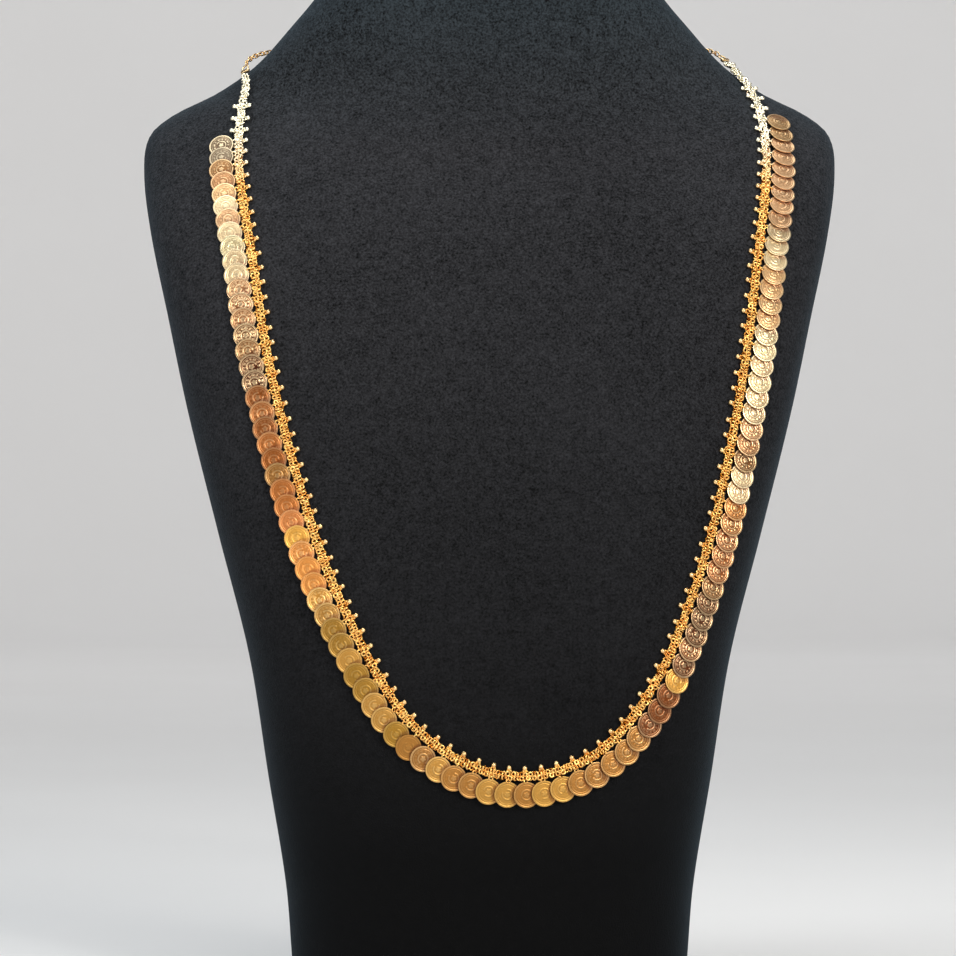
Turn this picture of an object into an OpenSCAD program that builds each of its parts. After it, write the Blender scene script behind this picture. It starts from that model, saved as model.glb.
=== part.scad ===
// Coin necklace on a neck bust, in millimetres.
// The base of the bust stands on z = 0, with its front towards -y.

/* [Neck bust] */
// Height from the base to the top of the neck
bust_h = 470; // [450:5:500]
// Width across the shoulders
shoulder_w = 292; // [284:2:304]

/* [Coins] */
// Number of coins on the necklace
coins = 98; // [60:2:98]
// Distance along the band from one coin to the next
pitch = 6.7; // [6.5:0.05:6.8]
// Diameter of a coin
coin_d = 10.2; // [9:0.1:10.4]
// Thickness of a coin's flan, without its relief
flan_t = 0.4; // [0.3:0.05:0.45]
// Height of the raised rim, rings and boss above the flan
relief_h = 0.18; // [0.1:0.02:0.2]
// Gap between two coins where one lies over the other
coin_gap = 0.38; // [0.3:0.01:0.4]
// How far the coins swing downwards on an upright stretch, in degrees
coin_sag = 14; // [0:1:18]

/* [Band] */
// Width of the band of linked rings
band_w = 3.9; // [3.4:0.1:4.2]
// Thickness of the band
band_t = 1.5; // [1.2:0.1:1.8]
// Units at each end that have a bead in place of a coin
end_units = 3; // [1:1:4]
// Length of plain band between the last bead and the end cap
plain_l = 15; // [10:1:18]
// How far the stiff left end of the band stands off the shoulder
left_rise = 3; // [1:0.25:4]
// How far the stiff right end of the band stands off the shoulder
right_rise = 1.5; // [1.5:0.25:3]
// How far the right end turns to the front, in degrees
right_turn = 33; // [0:1:33]

/* [Beads and chain] */
// Diameter of a granule bead
bead_d = 1.7; // [1.4:0.1:1.9]
// Distance of a bead's centre from the edge of the band
bead_reach = 1.7; // [1.5:0.05:2.2]
// Diameter of the chain behind the neck
chain_d = 2; // [1.6:0.1:2.4]
// Length of the clasp
clasp_l = 10; // [8:1:12]
// Diameter of the clasp
clasp_d = 3; // [2.5:0.1:3.5]

/* [Hidden] */
$fn = 32;

// Room left under and between pieces, and the overlap that joins two shapes of one piece
seat_gap = 0.3;
piece_gap = 0.15;
overlap = 0.1;

// Sections of the bust, as superellipses
// height, half width, centre, front depth, back depth, squareness
SECTIONS = [
    [0, 79, -4, 55, 63, 2.6],
    [8, 81, -5, 58, 66, 2.6],
    [45, 84, -8, 62, 70, 2.6],
    [90, 91, -10, 66, 72, 3],
    [140, 99, -6, 68, 69, 3.4],
    [190, 112, 2, 66, 63, 3.8],
    [240, 125, 11, 62, 58, 4],
    [280, 134, 21, 60, 54, 4],
    [315, 142, 31, 55, 48, 3.5],
    [342, 146, 41, 49, 42, 2.6],
    [358, 144, 47, 45, 37, 2.1],
    [367, 134, 50, 42, 36, 2.1],
    [376, 116, 51, 40, 36, 2.1],
    [387, 100, 49, 40, 38, 2.1],
    [402, 86, 48, 43, 41, 2],
    [422, 70, 47, 46, 43, 2],
    [445, 61, 46, 47, 45, 2],
    [464, 57, 45, 47, 46, 2],
    [470, 54, 45, 44, 43, 2]
];

// Route of the necklace, from the nape round by the left shoulder
// across, height, face: -1 in front, 0 on the crest of a shoulder, 1 behind
ROUTE = [
    [0, 402, 1], [-30, 401, 1], [-58, 399, 1], [-82, 396, 1],
    [-96, 389, 0],
    [-101, 377, -1], [-104, 362, -1], [-104, 344, -1], [-101, 323, -1],
    [-97, 302, -1], [-90, 261, -1], [-80, 221, -1], [-68, 183, -1],
    [-56, 155, -1], [-42, 129, -1], [-30, 113, -1], [-14, 101, -1],
    [5, 94, -1], [25, 95, -1], [43, 103, -1], [57, 117, -1],
    [68, 134, -1], [76, 152, -1], [83, 171, -1], [89, 190, -1],
    [94, 210, -1], [102, 250, -1], [108, 290, -1], [111, 311, -1],
    [114, 332, -1], [115, 354, -1], [110, 375, -1],
    [97, 388, 0],
    [82, 396, 1], [58, 399, 1], [30, 401, 1]
];

// Steps along each stretch of the route, and around and between the sections
route_steps = 8;
ring_sides = 48;
ring_steps = 2;

// The bust at its chosen size
last_row = len(SECTIONS) - 1;
height_k = bust_h / SECTIONS[last_row][0];
width_k = shoulder_w / (2 * max([for (row = SECTIONS) row[1]]));
BUST = [
    for (row = SECTIONS)
        [row[0] * height_k, row[1] * width_k, row[2], row[3], row[4], row[5]]
];

// Row of the section at or below a height
function row_at(z) = max([for (i = [0 : last_row - 1]) if (i == 0 || BUST[i][0] <= z) i]);

// Rate at which the values of a row change with height
function row_rate(i) =
    let (a = BUST[max(i - 1, 0)], b = BUST[min(i + 1, last_row)])
    (b - a) / (b[0] - a[0]);

// Section at any height, on a smooth cubic through the rows
function section_at(z) =
    let (
        zc = min(max(z, 0), bust_h),
        i = row_at(zc),
        step = BUST[i + 1][0] - BUST[i][0],
        t = (zc - BUST[i][0]) / step,
        t2 = t * t,
        t3 = t2 * t
    )
    (2 * t3 - 3 * t2 + 1) * BUST[i]
    + (t3 - 2 * t2 + t) * step * row_rate(i)
    + (3 * t2 - 2 * t3) * BUST[i + 1]
    + (t3 - t2) * step * row_rate(i + 1);

// Share of the way from the bust's axis to its surface: 1 on the surface
function reach(p) =
    let (s = section_at(p.z), y = p.y - s[2], depth = y < 0 ? s[3] : s[4])
    pow(pow(abs(p.x / s[1]), s[5]) + pow(abs(y / depth), s[5]), 1 / s[5]);

// Slope of the reach, which points straight out of the surface
probe = 0.2;
function slope(p) =
    [
        reach(p + [probe, 0, 0]) - reach(p - [probe, 0, 0]),
        reach(p + [0, probe, 0]) - reach(p - [0, probe, 0]),
        reach(p + [0, 0, probe]) - reach(p - [0, 0, probe])
    ] / (2 * probe);

function unit(v) = v / norm(v);
function outward(p) = unit(slope(p));

// Point moved straight onto the surface
function seat(p, turns = 3) =
    turns == 0 ? p :
    let (g = slope(p))
    seat(p - g * (reach(p) - 1) / (g * g), turns - 1);

// Route point on the face of the bust that its row names
function route_point(row) =
    let (
        z = row[1] * height_k,
        x = row[0] * width_k,
        s = section_at(z),
        depth = row[2] < 0 ? s[3] : s[4],
        share = pow(max(0, 1 - pow(abs(x / s[1]), s[5])), 1 / s[5])
    )
    seat([x, s[2] + row[2] * depth * share, z]);

KNOTS = [for (row = ROUTE) route_point(row)];
knots = len(KNOTS);

// Smooth closed curve through the knots, seated on the surface
function curve(t) =
    let (
        i = floor(t),
        f = t - i,
        a = KNOTS[(i + knots - 1) % knots],
        b = KNOTS[i % knots],
        c = KNOTS[(i + 1) % knots],
        d = KNOTS[(i + 2) % knots]
    )
    seat(0.5 * (
        2 * b + (c - a) * f
        + (2 * a - 5 * b + 4 * c - d) * f * f
        + (3 * b - a - 3 * c + d) * f * f * f
    ), 2);

SAMPLES = [for (k = [0 : knots * route_steps]) curve(k / route_steps)];
ARC = [
    for (
        k = 0, s = 0;
        k < len(SAMPLES);
        s = s + (k + 1 < len(SAMPLES) ? norm(SAMPLES[k + 1] - SAMPLES[k]) : 0), k = k + 1
    )
    [s, k / route_steps]
];
loop_l = ARC[len(ARC) - 1][0];

// Share of an end's rise and turn: 1 at their middle, and 0 from end_span away
end_span = 32;
function share_at(s, middle) =
    let (t = max(0, 1 - abs(s - middle) / end_span))
    t * t * (3 - 2 * t);

// Point at a distance along the loop
function at(s) =
    let (
        p = curve(lookup((s + loop_l) % loop_l, ARC)),
        rise = left_rise * share_at(s, left_middle) + right_rise * share_at(s, right_middle)
    )
    rise == 0 ? p : p + rise * outward(p);

// Place on the loop: direction along it, into the loop, out of the bust, and the point
function place(s) =
    let (
        p = at(s),
        along = unit(at(s + 1) - at(s - 1)),
        up = outward(p),
        out = unit(up - (up * along) * along),
        inward = cross(out, along),
        turn = right_turn * share_at(s, right_middle)
    )
    [along, inward * cos(turn) - out * sin(turn), out * cos(turn) + inward * sin(turn), p];

// Transform that carries a piece to a place, lifted off the surface
function carry(f, lift = 0) =
    let (p = f[3] + lift * f[2])
    [
        [f[0].x, f[1].x, f[2].x, p.x],
        [f[0].y, f[1].y, f[2].y, p.y],
        [f[0].z, f[1].z, f[2].z, p.z],
        [0, 0, 0, 1]
    ];

// Units of the band, counted from the left end
units = coins + 2 * end_units;
lowest = min([for (p = SAMPLES) p.z]);
low_s = [for (k = [0 : len(SAMPLES) - 1]) if (SAMPLES[k].z == lowest) ARC[k][0]][0];
// The middle of the necklace lies a little past its lowest point
mid_shift = 5;
mid_s = low_s + mid_shift;
function unit_s(u) = mid_s + (u - (units - 1) / 2) * pitch;

band_start = unit_s(-0.5) - plain_l;
band_end = unit_s(units - 0.5) + plain_l;
band_lift = seat_gap + band_t / 2;

// The rise and turn are greatest just past the ends of the band, on the caps
past_end = 4;
left_middle = band_start - past_end;
right_middle = band_end + past_end;

// Coins: the trailing edge of each rides up over the one before it
coin_r = coin_d / 2;
coin_t = flan_t + relief_h;
coin_tilt = asin((coin_t + coin_gap) / pitch);
coin_lift = seat_gap + coin_r * sin(coin_tilt);
lug_w = 0.9;
lug_l = 0.2;
// Room between a lug and the band, which also lets the coins swing
lug_gap = 0.25;
coin_reach = lug_gap + lug_l + coin_r;
// Small uneven swing and reach of the coins
uneven_swing = 1.2;
uneven_reach = 0.12;

// Place of a coin, level with the band: it swings about the edge of the band
function coin_place(i) =
    let (
        f = place(unit_s(i + end_units)),
        swing = -coin_sag * f[0].z + uneven_swing * sin(137 * i),
        away = f[0] * sin(swing) - f[1] * cos(swing),
        far = coin_reach + uneven_reach * (1 + sin(222 * i))
    )
    [cross(-away, f[2]), -away, f[2], f[3] - band_w / 2 * f[1] + far * away];

rim_in = 0.87;
// Relief of a coin: the boss, inner ring and rim, as shares of the coin's radius
// inner, outer
RAISED = [[0, 0.2], [0.33, 0.44], [rim_in, 1]];

module coin() {
    rotate([0, coin_tilt, 0]) {
        cylinder(r = coin_r * rim_in + overlap, h = flan_t);
        for (ring = RAISED)
            rotate_extrude()
                translate([ring[0] * coin_r, 0])
                    square([(ring[1] - ring[0]) * coin_r, coin_t]);
        translate([-lug_w / 2, coin_r - overlap, 0])
            cube([lug_w, lug_l + overlap, flan_t]);
    }
}

module coin_run(first, last) {
    color("darkgoldenrod")
        for (i = [first : last])
            multmatrix(carry(coin_place(i), coin_lift)) coin();
}

module coins_left() { coin_run(0, coins / 2 - 1); }
module coins_right() { coin_run(coins / 2, coins - 1); }

// Bead on a short cone, standing on the edge of the band
cone_r = 0.7;
tip_r = 0.3;
foot_gap = 0.25;
module bead(side) {
    foot = band_w / 2 + foot_gap;
    centre = band_w / 2 + bead_reach;
    rotate([-90 * side, 0, 0]) {
        translate([0, 0, foot]) cylinder(r1 = cone_r, r2 = tip_r, h = centre - foot);
        translate([0, 0, centre]) sphere(d = bead_d);
    }
}

module bead_run(first, last, side) {
    color("gold")
        for (u = [first : last])
            multmatrix(carry(place(unit_s(u)), band_lift)) bead(side);
}

module inner_beads_left() { bead_run(0, units / 2 - 1, 1); }
module inner_beads_right() { bead_run(units / 2, units - 1, 1); }
module outer_beads() {
    bead_run(0, end_units - 1, -1);
    bead_run(units - end_units, units - 1, -1);
}

// Closed skin over rings of points that turn left about its length, with flat ends
module skin(rings) {
    sides = len(rings[0]);
    turns = len(rings) - 1;
    polyhedron(
        points = [for (ring = rings) each ring],
        faces = [
            [for (k = [0 : sides - 1]) k],
            for (r = [0 : turns - 1], k = [0 : sides - 1])
                let (a = r * sides, b = a + sides, n = (k + 1) % sides)
                each [[a + k, b + n, a + n], [a + k, b + k, b + n]],
            [for (k = [sides - 1 : -1 : 0]) turns * sides + k]
        ]
    );
}

// Outline [inward, outward] carried along the loop between two distances
module sweep(outline, from, to, spacing, lift) {
    count = ceil((to - from) / spacing);
    skin([
        for (k = [0 : count])
            let (f = place(from + (to - from) * k / count))
            [for (q = outline) f[3] + (lift + q.y) * f[2] + q.x * f[1]]
    ]);
}

// Band with its long edges rounded off
edge = 0.4;
band_outline = let (a = band_w / 2, b = band_t / 2) [
    [a - edge, -b], [a, edge - b], [a, b - edge], [a - edge, b],
    [edge - a, b], [-a, b - edge], [-a, edge - b], [edge - a, -b]
];
module ring_band() {
    color("gold") sweep(band_outline, band_start, band_end, pitch, band_lift);
}

// End cap: a small plate with a ring for the chain
cap_l = 1.6;
cap_w = 4;
cap_t = 1.5;
cap_lift = 1.2;
loop_r = 1.5;
loop_wire = 0.33;
loop_out = loop_r - loop_wire / 2;
cap_reach = cap_l + loop_out + loop_r + loop_wire;
module end_cap(s, way) {
    color("gold")
        multmatrix(carry(place(s), cap_lift))
            scale([way, way, 1]) {
                translate([piece_gap, -cap_w / 2, -cap_t / 2]) cube([cap_l, cap_w, cap_t]);
                translate([piece_gap + cap_l + loop_out, 0, 0])
                    rotate_extrude() translate([loop_r, 0]) circle(r = loop_wire);
            }
}
module end_cap_left() { end_cap(band_start, -1); }
module end_cap_right() { end_cap(band_end, 1); }

// Chain behind the neck, as a tube
chain_sides = 8;
chain_outline = [
    for (k = [0 : chain_sides - 1])
        let (a = 360 * (k + 0.5) / chain_sides)
        [chain_d / 2 * cos(a), chain_d / 2 * sin(a)]
];
chain_spacing = 2.5 * chain_d;
module back_chain(from, to) {
    color("gold") sweep(chain_outline, from, to, chain_spacing, seat_gap + chain_d / 2);
}
module back_chain_left() {
    back_chain(clasp_l / 2 + piece_gap, band_start - cap_reach - 2 * piece_gap);
}
module back_chain_right() {
    back_chain(band_end + cap_reach + 2 * piece_gap, loop_l - clasp_l / 2 - piece_gap);
}

// Barrel clasp at the nape, narrowed at both ends
clasp_end = 2;
module clasp() {
    color("gold")
        multmatrix(carry(place(0), seat_gap + clasp_d / 2))
            rotate([0, 90, 0]) {
                cylinder(d = clasp_d, h = clasp_l - 2 * clasp_end, center = true);
                for (way = [0, 180])
                    rotate([way, 0, 0])
                        translate([0, 0, clasp_l / 2 - clasp_end])
                            cylinder(d1 = clasp_d, d2 = chain_d, h = clasp_end);
            }
}

// Bust: rings of points on its sections
function bust_ring(z) =
    let (s = section_at(z), power = 2 / s[5])
    [
        for (k = [0 : ring_sides - 1])
            let (a = 360 * (k + 0.5) / ring_sides, c = cos(a), d = sin(a))
            [
                s[1] * sign(c) * pow(abs(c), power),
                s[2] + (d < 0 ? s[3] : s[4]) * sign(d) * pow(abs(d), power),
                z
            ]
    ];
ring_heights = [
    for (i = [0 : last_row - 1], k = [0 : ring_steps - 1])
        BUST[i][0] + (BUST[i + 1][0] - BUST[i][0]) * k / ring_steps,
    bust_h
];
module neck_bust() {
    color([0.08, 0.08, 0.09]) skin([for (z = ring_heights) bust_ring(z)]);
}

neck_bust();
ring_band();
coins_left();
coins_right();
inner_beads_left();
inner_beads_right();
outer_beads();
end_cap_left();
end_cap_right();
back_chain_left();
back_chain_right();
clasp();
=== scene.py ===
# %% [markdown]
# # A coin necklace on a neck bust
# A long necklace hangs round a black shoulder bust: a band of two rows of linked rings,
# 98 struck coins along its outer edge, and a row of small granules along its inner edge.
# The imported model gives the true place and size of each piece. This script dresses it:
# each piece is worked out again as a fine surface, in the same place, and gets its finish.
# The frame comes first, because every piece rides on it.

# %% The frame
import math

import bpy
import numpy as np
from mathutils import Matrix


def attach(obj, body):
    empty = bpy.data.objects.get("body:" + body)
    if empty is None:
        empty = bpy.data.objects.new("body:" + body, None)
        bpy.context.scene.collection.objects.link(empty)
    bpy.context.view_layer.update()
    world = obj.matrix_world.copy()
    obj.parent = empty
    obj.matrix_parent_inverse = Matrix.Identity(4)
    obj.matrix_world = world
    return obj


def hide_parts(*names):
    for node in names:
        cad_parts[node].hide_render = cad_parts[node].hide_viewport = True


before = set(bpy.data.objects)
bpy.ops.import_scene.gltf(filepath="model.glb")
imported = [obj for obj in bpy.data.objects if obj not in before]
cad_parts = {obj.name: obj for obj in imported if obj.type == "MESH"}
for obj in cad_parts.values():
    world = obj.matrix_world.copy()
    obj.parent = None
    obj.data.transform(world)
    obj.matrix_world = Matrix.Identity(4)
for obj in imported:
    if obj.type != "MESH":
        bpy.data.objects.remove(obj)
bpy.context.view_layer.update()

MM = 0.001
print("CAD nodes:", sorted(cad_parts))

# %% [markdown]
# ## Shapes as arrays
# Lathes, loops of wire and struck discs are all grids: one parameter goes round, the
# other goes along. A form here is three arrays, its points, its quads and its triangles,
# so a thousand copies of a ring are one multiplication and not a thousand objects.
# Sizes are in millimetres until a form becomes a mesh.

# %% Forms and their copies
def form(points, quads, triangles=()):
    """A form: points as rows of three, quads and triangles as rows of point numbers."""
    return (
        np.asarray(points, float).reshape(-1, 3),
        np.asarray(quads, int).reshape(-1, 4),
        np.asarray(triangles, int).reshape(-1, 3),
    )


def grid_quads(rows, columns):
    """Quads between the rows of a grid of points, whose last column joins its first."""
    row = np.arange(rows - 1)[:, None]
    column = np.arange(columns)[None, :]
    after = (column + 1) % columns
    corners = [row * columns + column, row * columns + after,
               (row + 1) * columns + after, (row + 1) * columns + column]
    return np.stack(corners, -1).reshape(-1, 4)


def capped_faces(rows, around, upwards=False):
    """Faces of a closed skin: quads between rows of points that go round an axis, from its top down, and a
    fan at each end, whose middle points come after the rows. Rows that go upwards have their faces turned."""
    now = np.arange(around)
    after = (now + 1) % around
    last, middle = (rows - 1) * around, rows * around
    fans = np.concatenate([
        np.stack([now, after, np.full(around, middle)], -1),
        np.stack([last + after, last + now, np.full(around, middle + 1)], -1),
    ])
    quads = grid_quads(rows, around)
    return (quads, fans[:, [1, 0, 2]]) if upwards else (quads[:, ::-1], fans)


def joined(*forms):
    """Several forms as one: each one's point numbers start after those before it."""
    starts = np.cumsum([0] + [len(f[0]) for f in forms[:-1]])
    return form(
        np.concatenate([f[0] for f in forms]),
        np.concatenate([f[1] + start for f, start in zip(forms, starts)]),
        np.concatenate([f[2] + start for f, start in zip(forms, starts)]),
    )


def copies(one, axes, places):
    """One form at many places: each point is the sum of its x, y and z times the place's three axes,
    plus the place. The form may also bring its own points for each place."""
    count, size = len(places), one[0].shape[-2]
    own = np.broadcast_to(one[0], (count, size, 3))
    points = np.einsum("nij,nvi->nvj", axes, own) + places[:, None, :]
    starts = np.arange(count)[:, None, None] * size
    return form(points, one[1][None] + starts, one[2][None] + starts)


def moved(one, turn=np.eye(3), by=(0, 0, 0)):
    """A form turned by a matrix and then moved."""
    return form(one[0] @ np.asarray(turn, float).T + np.asarray(by, float), one[1], one[2])


def turn_about(axis, degrees):
    """Turning matrix about the x, y or z axis, for one angle or for an array of them."""
    angle = np.radians(np.asarray(degrees, float))
    cos, sin = np.cos(angle), np.sin(angle)
    matrix = np.zeros(angle.shape + (3, 3))
    a, b = {"x": (1, 2), "y": (2, 0), "z": (0, 1)}[axis]
    matrix[..., 3 - a - b, 3 - a - b] = 1
    matrix[..., a, a] = matrix[..., b, b] = cos
    matrix[..., a, b], matrix[..., b, a] = -sin, sin
    return matrix


# %% Lathes and wires
def turned_round(profile, around):
    """Points of a profile of (distance from the z axis, height): the distance times the cosine and the sine
    of each angle round the axis, at that height."""
    angle = np.arange(around) * 2 * np.pi / around
    out, height = profile[:, :1], profile[:, 1:]
    return np.stack([out * np.cos(angle), out * np.sin(angle), height + 0 * angle], -1).reshape(-1, 3)


def lathe(profile, around):
    """Closed skin of a profile turned round the z axis, from its top down. Both its ends lie on the axis."""
    profile = np.asarray(profile, float)
    inner = profile[1:-1]
    ends = [[0, 0, profile[0, 1]], [0, 0, profile[-1, 1]]]
    return form(np.concatenate([turned_round(inner, around), ends]), *capped_faces(len(inner), around))


def closed_wire(path, wire, sides):
    """Round wire along a closed flat path in the x-y plane. Round each path point lies a circle of points,
    half along the path's normal in the plane and half along z."""
    path = np.asarray(path, float)
    ahead = np.roll(path, -1, axis=0) - np.roll(path, 1, axis=0)
    ahead /= np.linalg.norm(ahead, axis=1, keepdims=True)
    outside = np.stack([ahead[:, 1], -ahead[:, 0]], -1)
    angle = (np.arange(sides) + 0.5) * 2 * np.pi / sides
    flat = path[:, None, :] + wire * np.cos(angle)[None, :, None] * outside[:, None, :]
    height = np.repeat(wire * np.sin(angle)[None, :, None], len(path), axis=0)
    points = np.concatenate([flat, height], -1)
    count = len(path)
    quads = grid_quads(count + 1, sides) % (count * sides)
    return form(points, quads)


def ring_path(radius, around):
    """Circle, turning left."""
    angle = np.arange(around) * 2 * np.pi / around
    return radius * np.stack([np.cos(angle), np.sin(angle)], -1)


def oval_path(length, width, around):
    """Oval of two half circles and two straight sides: a circle whose halves are pushed apart along x."""
    circle = ring_path(width / 2, around)
    circle[:, 0] += np.sign(np.round(circle[:, 0], 6)) * (length - width) / 2
    return circle


def open_wire(start, end, start_wire, end_wire, sides):
    """Straight tapered wire between two points, with a fan at each end."""
    start, end = np.asarray(start, float), np.asarray(end, float)
    length = np.linalg.norm(end - start)
    straight = lathe([(0, length), (end_wire, length), (start_wire, 0), (0, 0)], sides)
    up = (end - start) / length
    side = np.cross(up, [0.3, 0.1, 1])
    side /= np.linalg.norm(side)
    return moved(straight, np.stack([side, np.cross(up, side), up], -1), start)


# %% From a form to a Blender object
def piece(name, made, finish, nodes, slot, **attributes):
    """Puts a form into a mesh, in metres, with its named attributes, lets it ride, and hides the CAD nodes
    that it stands for."""
    points, quads, triangles = made
    mesh = bpy.data.meshes.new(name)
    mesh.from_pydata((points * MM).tolist(), [], quads.tolist() + triangles.tolist())
    mesh.polygons.foreach_set("use_smooth", np.ones(len(mesh.polygons), bool))
    for attribute, values in attributes.items():
        kind, field = ("FLOAT_COLOR", "color") if values.ndim == 2 else ("FLOAT", "value")
        layer = mesh.attributes.new(attribute, kind, "POINT")
        layer.data.foreach_set(field, values.astype(np.float32).ravel())
    mesh.materials.append(finish)
    mesh.validate()
    made_object = bpy.data.objects.new(name, mesh)
    bpy.context.scene.collection.objects.link(made_object)
    if slot:
        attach(made_object, "root")
    if nodes:
        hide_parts(*nodes)
    print(f"{name}: {2 * len(quads) + len(triangles)} triangles, for {list(nodes)}")
    return made_object


# %% [markdown]
# ## Finishes
# Gold alloy is a metal, so its colour lies in what it reflects, and its life lies in how
# rough it is. Black velvet is the other way round: it reflects almost nothing straight
# on, and its pile glows faintly where it is seen edge on. Both are made from noise and
# from the mesh's own attributes. A small class lets the sums be written as sums.

# %% Writing a finish as an expression
class Signal:
    """The output of a node. A sum or product of signals and numbers adds a Math node."""

    def __init__(self, tree, socket):
        self.tree, self.socket = tree, socket

    def math(self, operation, other, swapped=False):
        """Adds a Math node for this signal and another one or a number."""
        node = self.tree.nodes.new("ShaderNodeMath")
        node.operation = operation
        for socket, value in zip(node.inputs, (other, self) if swapped else (self, other)):
            if isinstance(value, Signal):
                self.tree.links.new(value.socket, socket)
            else:
                socket.default_value = value
        return Signal(self.tree, node.outputs[0])

    def __add__(self, other):
        return self.math("ADD", other)

    def __sub__(self, other):
        return self.math("SUBTRACT", other)

    def __rsub__(self, other):
        return self.math("SUBTRACT", other, swapped=True)

    def __mul__(self, other):
        return self.math("MULTIPLY", other)

    __radd__, __rmul__ = __add__, __mul__


class Finish:
    """A material with one Principled shader, and the way to add nodes to it."""

    def __init__(self, name, **constants):
        self.material = bpy.data.materials.new(name)
        self.material.use_nodes = True
        self.tree = self.material.node_tree
        self.shader = next(n for n in self.tree.nodes if n.type == "BSDF_PRINCIPLED")
        for socket, value in constants.items():
            self.shader.inputs[socket.replace("_", " ")].default_value = value

    def node(self, kind, output, settings=None, **sockets):
        """Adds a node: its settings first, then the values or links of its sockets, each by its name or by
        its number, as in _0. Returns one of its outputs."""
        node = self.tree.nodes.new(kind)
        for name, value in (settings or {}).items():
            setattr(node, name, value)
        for name, value in sockets.items():
            number = name[1:]
            socket = node.inputs[int(number) if number.isdigit() else name.replace("_", " ")]
            if isinstance(value, Signal):
                self.tree.links.new(value.socket, socket)
            else:
                socket.default_value = value
        return Signal(self.tree, node.outputs[output])

    def set(self, **sockets):
        """Links signals to the shader's own sockets."""
        for name, value in sockets.items():
            self.tree.links.new(value.socket, self.shader.inputs[name.replace("_", " ")])
        return self.material

    def place(self):
        """Object coordinates, in metres from the middle of the bust's foot."""
        return self.node("ShaderNodeTexCoord", "Object")

    def noise(self, scale, detail=3):
        """Cloudy noise on Object coordinates, from 0 to 1; scale is in grains a metre."""
        sockets = {"Vector": self.place(), "Scale": scale, "Detail": detail, "Roughness": 0.6}
        return self.node("ShaderNodeTexNoise", "Fac", **sockets)

    def height(self):
        """Height over the foot, in metres."""
        return self.node("ShaderNodeSeparateXYZ", "Z", Vector=self.place())

    def mix(self, share, first, second, blend="MIX"):
        """Colour from first to second, as share goes from 0 to 1."""
        settings = {"data_type": "RGBA", "blend_type": blend}
        return self.node("ShaderNodeMix", 2, settings, _0=share, _6=first, _7=second)

    def tinted(self, colour, tint):
        """A colour seen through a tint: the product of the two."""
        return self.mix(1.0, colour, (*tint, 1), "MULTIPLY")

    def attribute(self, name, output="Fac"):
        """A value or a colour that the mesh carries at its points."""
        return self.node("ShaderNodeAttribute", output, {"attribute_name": name})

    def bump(self, height, strength, distance):
        """Normal of a surface whose height in metres is distance times a signal."""
        return self.node("ShaderNodeBump", "Normal", Strength=strength, Distance=distance, Height=height)


# %% Black velvet
def velvet():
    """Deep black pile: noise in three sizes moves its colour, the finest one grain by grain.
    Painted light: the colour grows lighter with height, a little on the upper chest and more at the neck,
    where it is also painted cooler, as light from above falls; the foot stays black."""
    paint = Finish(
        "black_velvet",
        Sheen_Weight=0.07,
        Sheen_Roughness=0.4,
        Sheen_Tint=(0.35, 0.62, 0.85, 1),
        Specular_IOR_Level=0.12,
    )
    pile = paint.noise(14, 2) * 0.5 + paint.noise(260, 2) * 0.7 + paint.noise(1100, 1) * 1.8 - 1.0
    # painted light: the velvet is painted lighter the higher it lies, as light from above falls
    painted_velvet_light = paint.height() * 3.4 - 0.2
    # the pile's own colour, painted a cooler blue at the neck and shoulders as cool light from above
    grey_pile_and_cool_light = paint.mix(paint.height() * 12 - 4.2, (0.037, 0.038, 0.043, 1), (0.028, 0.041, 0.05, 1))
    paint.set(
        Base_Color=paint.mix(pile * painted_velvet_light, (0.0012, 0.0012, 0.0014, 1), grey_pile_and_cool_light),
        Roughness=paint.noise(300) * 0.15 + 0.82,
        Normal=paint.bump(paint.noise(1500, 2), 0.8, 0.0004),
    )
    return paint.material


# %% Gold for the wires and granules
def wire_gold():
    """Yellow gold. Low down between the wires it is painted in shade, darker and red-brown, and the tops are
    lighter.
    Where the mesh carries painted light, over the shoulders and on the balls, it goes almost to cream and the
    painted shade lifts."""
    paint = Finish("yellow_gold_wire", Metallic=1.0)
    cloud = paint.noise(350)
    painted_light = paint.attribute("painted_light")
    # relief is painted shade here: the lower a wire lies off the bust, the darker and redder; the cloud is
    # the alloy's own mottling, and the third term painted light
    unshaded = paint.attribute("relief") * 1.3 + cloud * 0.5 + painted_light * 0.6 - 0.35
    polished_and_lit = paint.mix(cloud * 2 - 0.5, (0.8, 0.34, 0.055, 1), (0.98, 0.68, 0.22, 1))
    # painted light: the gold goes towards cream where it is painted lit
    polished_and_lit = paint.mix(painted_light, polished_and_lit, (1.0, 0.94, 0.74, 1))
    paint.set(
        Base_Color=paint.mix(unshaded, (0.46, 0.16, 0.008, 1), polished_and_lit),
        Roughness=cloud * 0.16 + 0.18,
        Normal=paint.bump(paint.noise(2500, 2), 0.15, 0.0001),
    )
    return paint.material


# %% Gold for the coins
def coin_gold():
    """Struck gold: each coin has its own tone. The field is painted in shade, darker than the relief, and the
    crisper the coin, the deeper that painted shade and the shinier it is against a paler, rubbed relief."""
    paint = Finish("struck_gold_coin", Metallic=0.8)
    tone = paint.attribute("tone", "Color")
    raised, crisp = paint.attribute("relief"), paint.attribute("crisp")
    cloud = paint.noise(500)
    # painted shade in the field between the raised parts, deeper on crisp coins
    field = paint.mix(crisp, paint.tinted(tone, (0.93, 0.88, 0.8)), paint.tinted(tone, (0.36, 0.21, 0.13)))
    rubbed = paint.mix(crisp * 0.6, tone, (1.0, 0.78, 0.46, 1))
    paint.set(
        Base_Color=paint.mix(raised * 0.9 + cloud * 0.3 - 0.1, field, rubbed),
        Roughness=cloud * 0.16 + 0.38 - crisp * 0.12 - raised * 0.12,
        Normal=paint.bump(paint.noise(1300, 3), 0.35, 0.00015),
    )
    return paint.material


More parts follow.
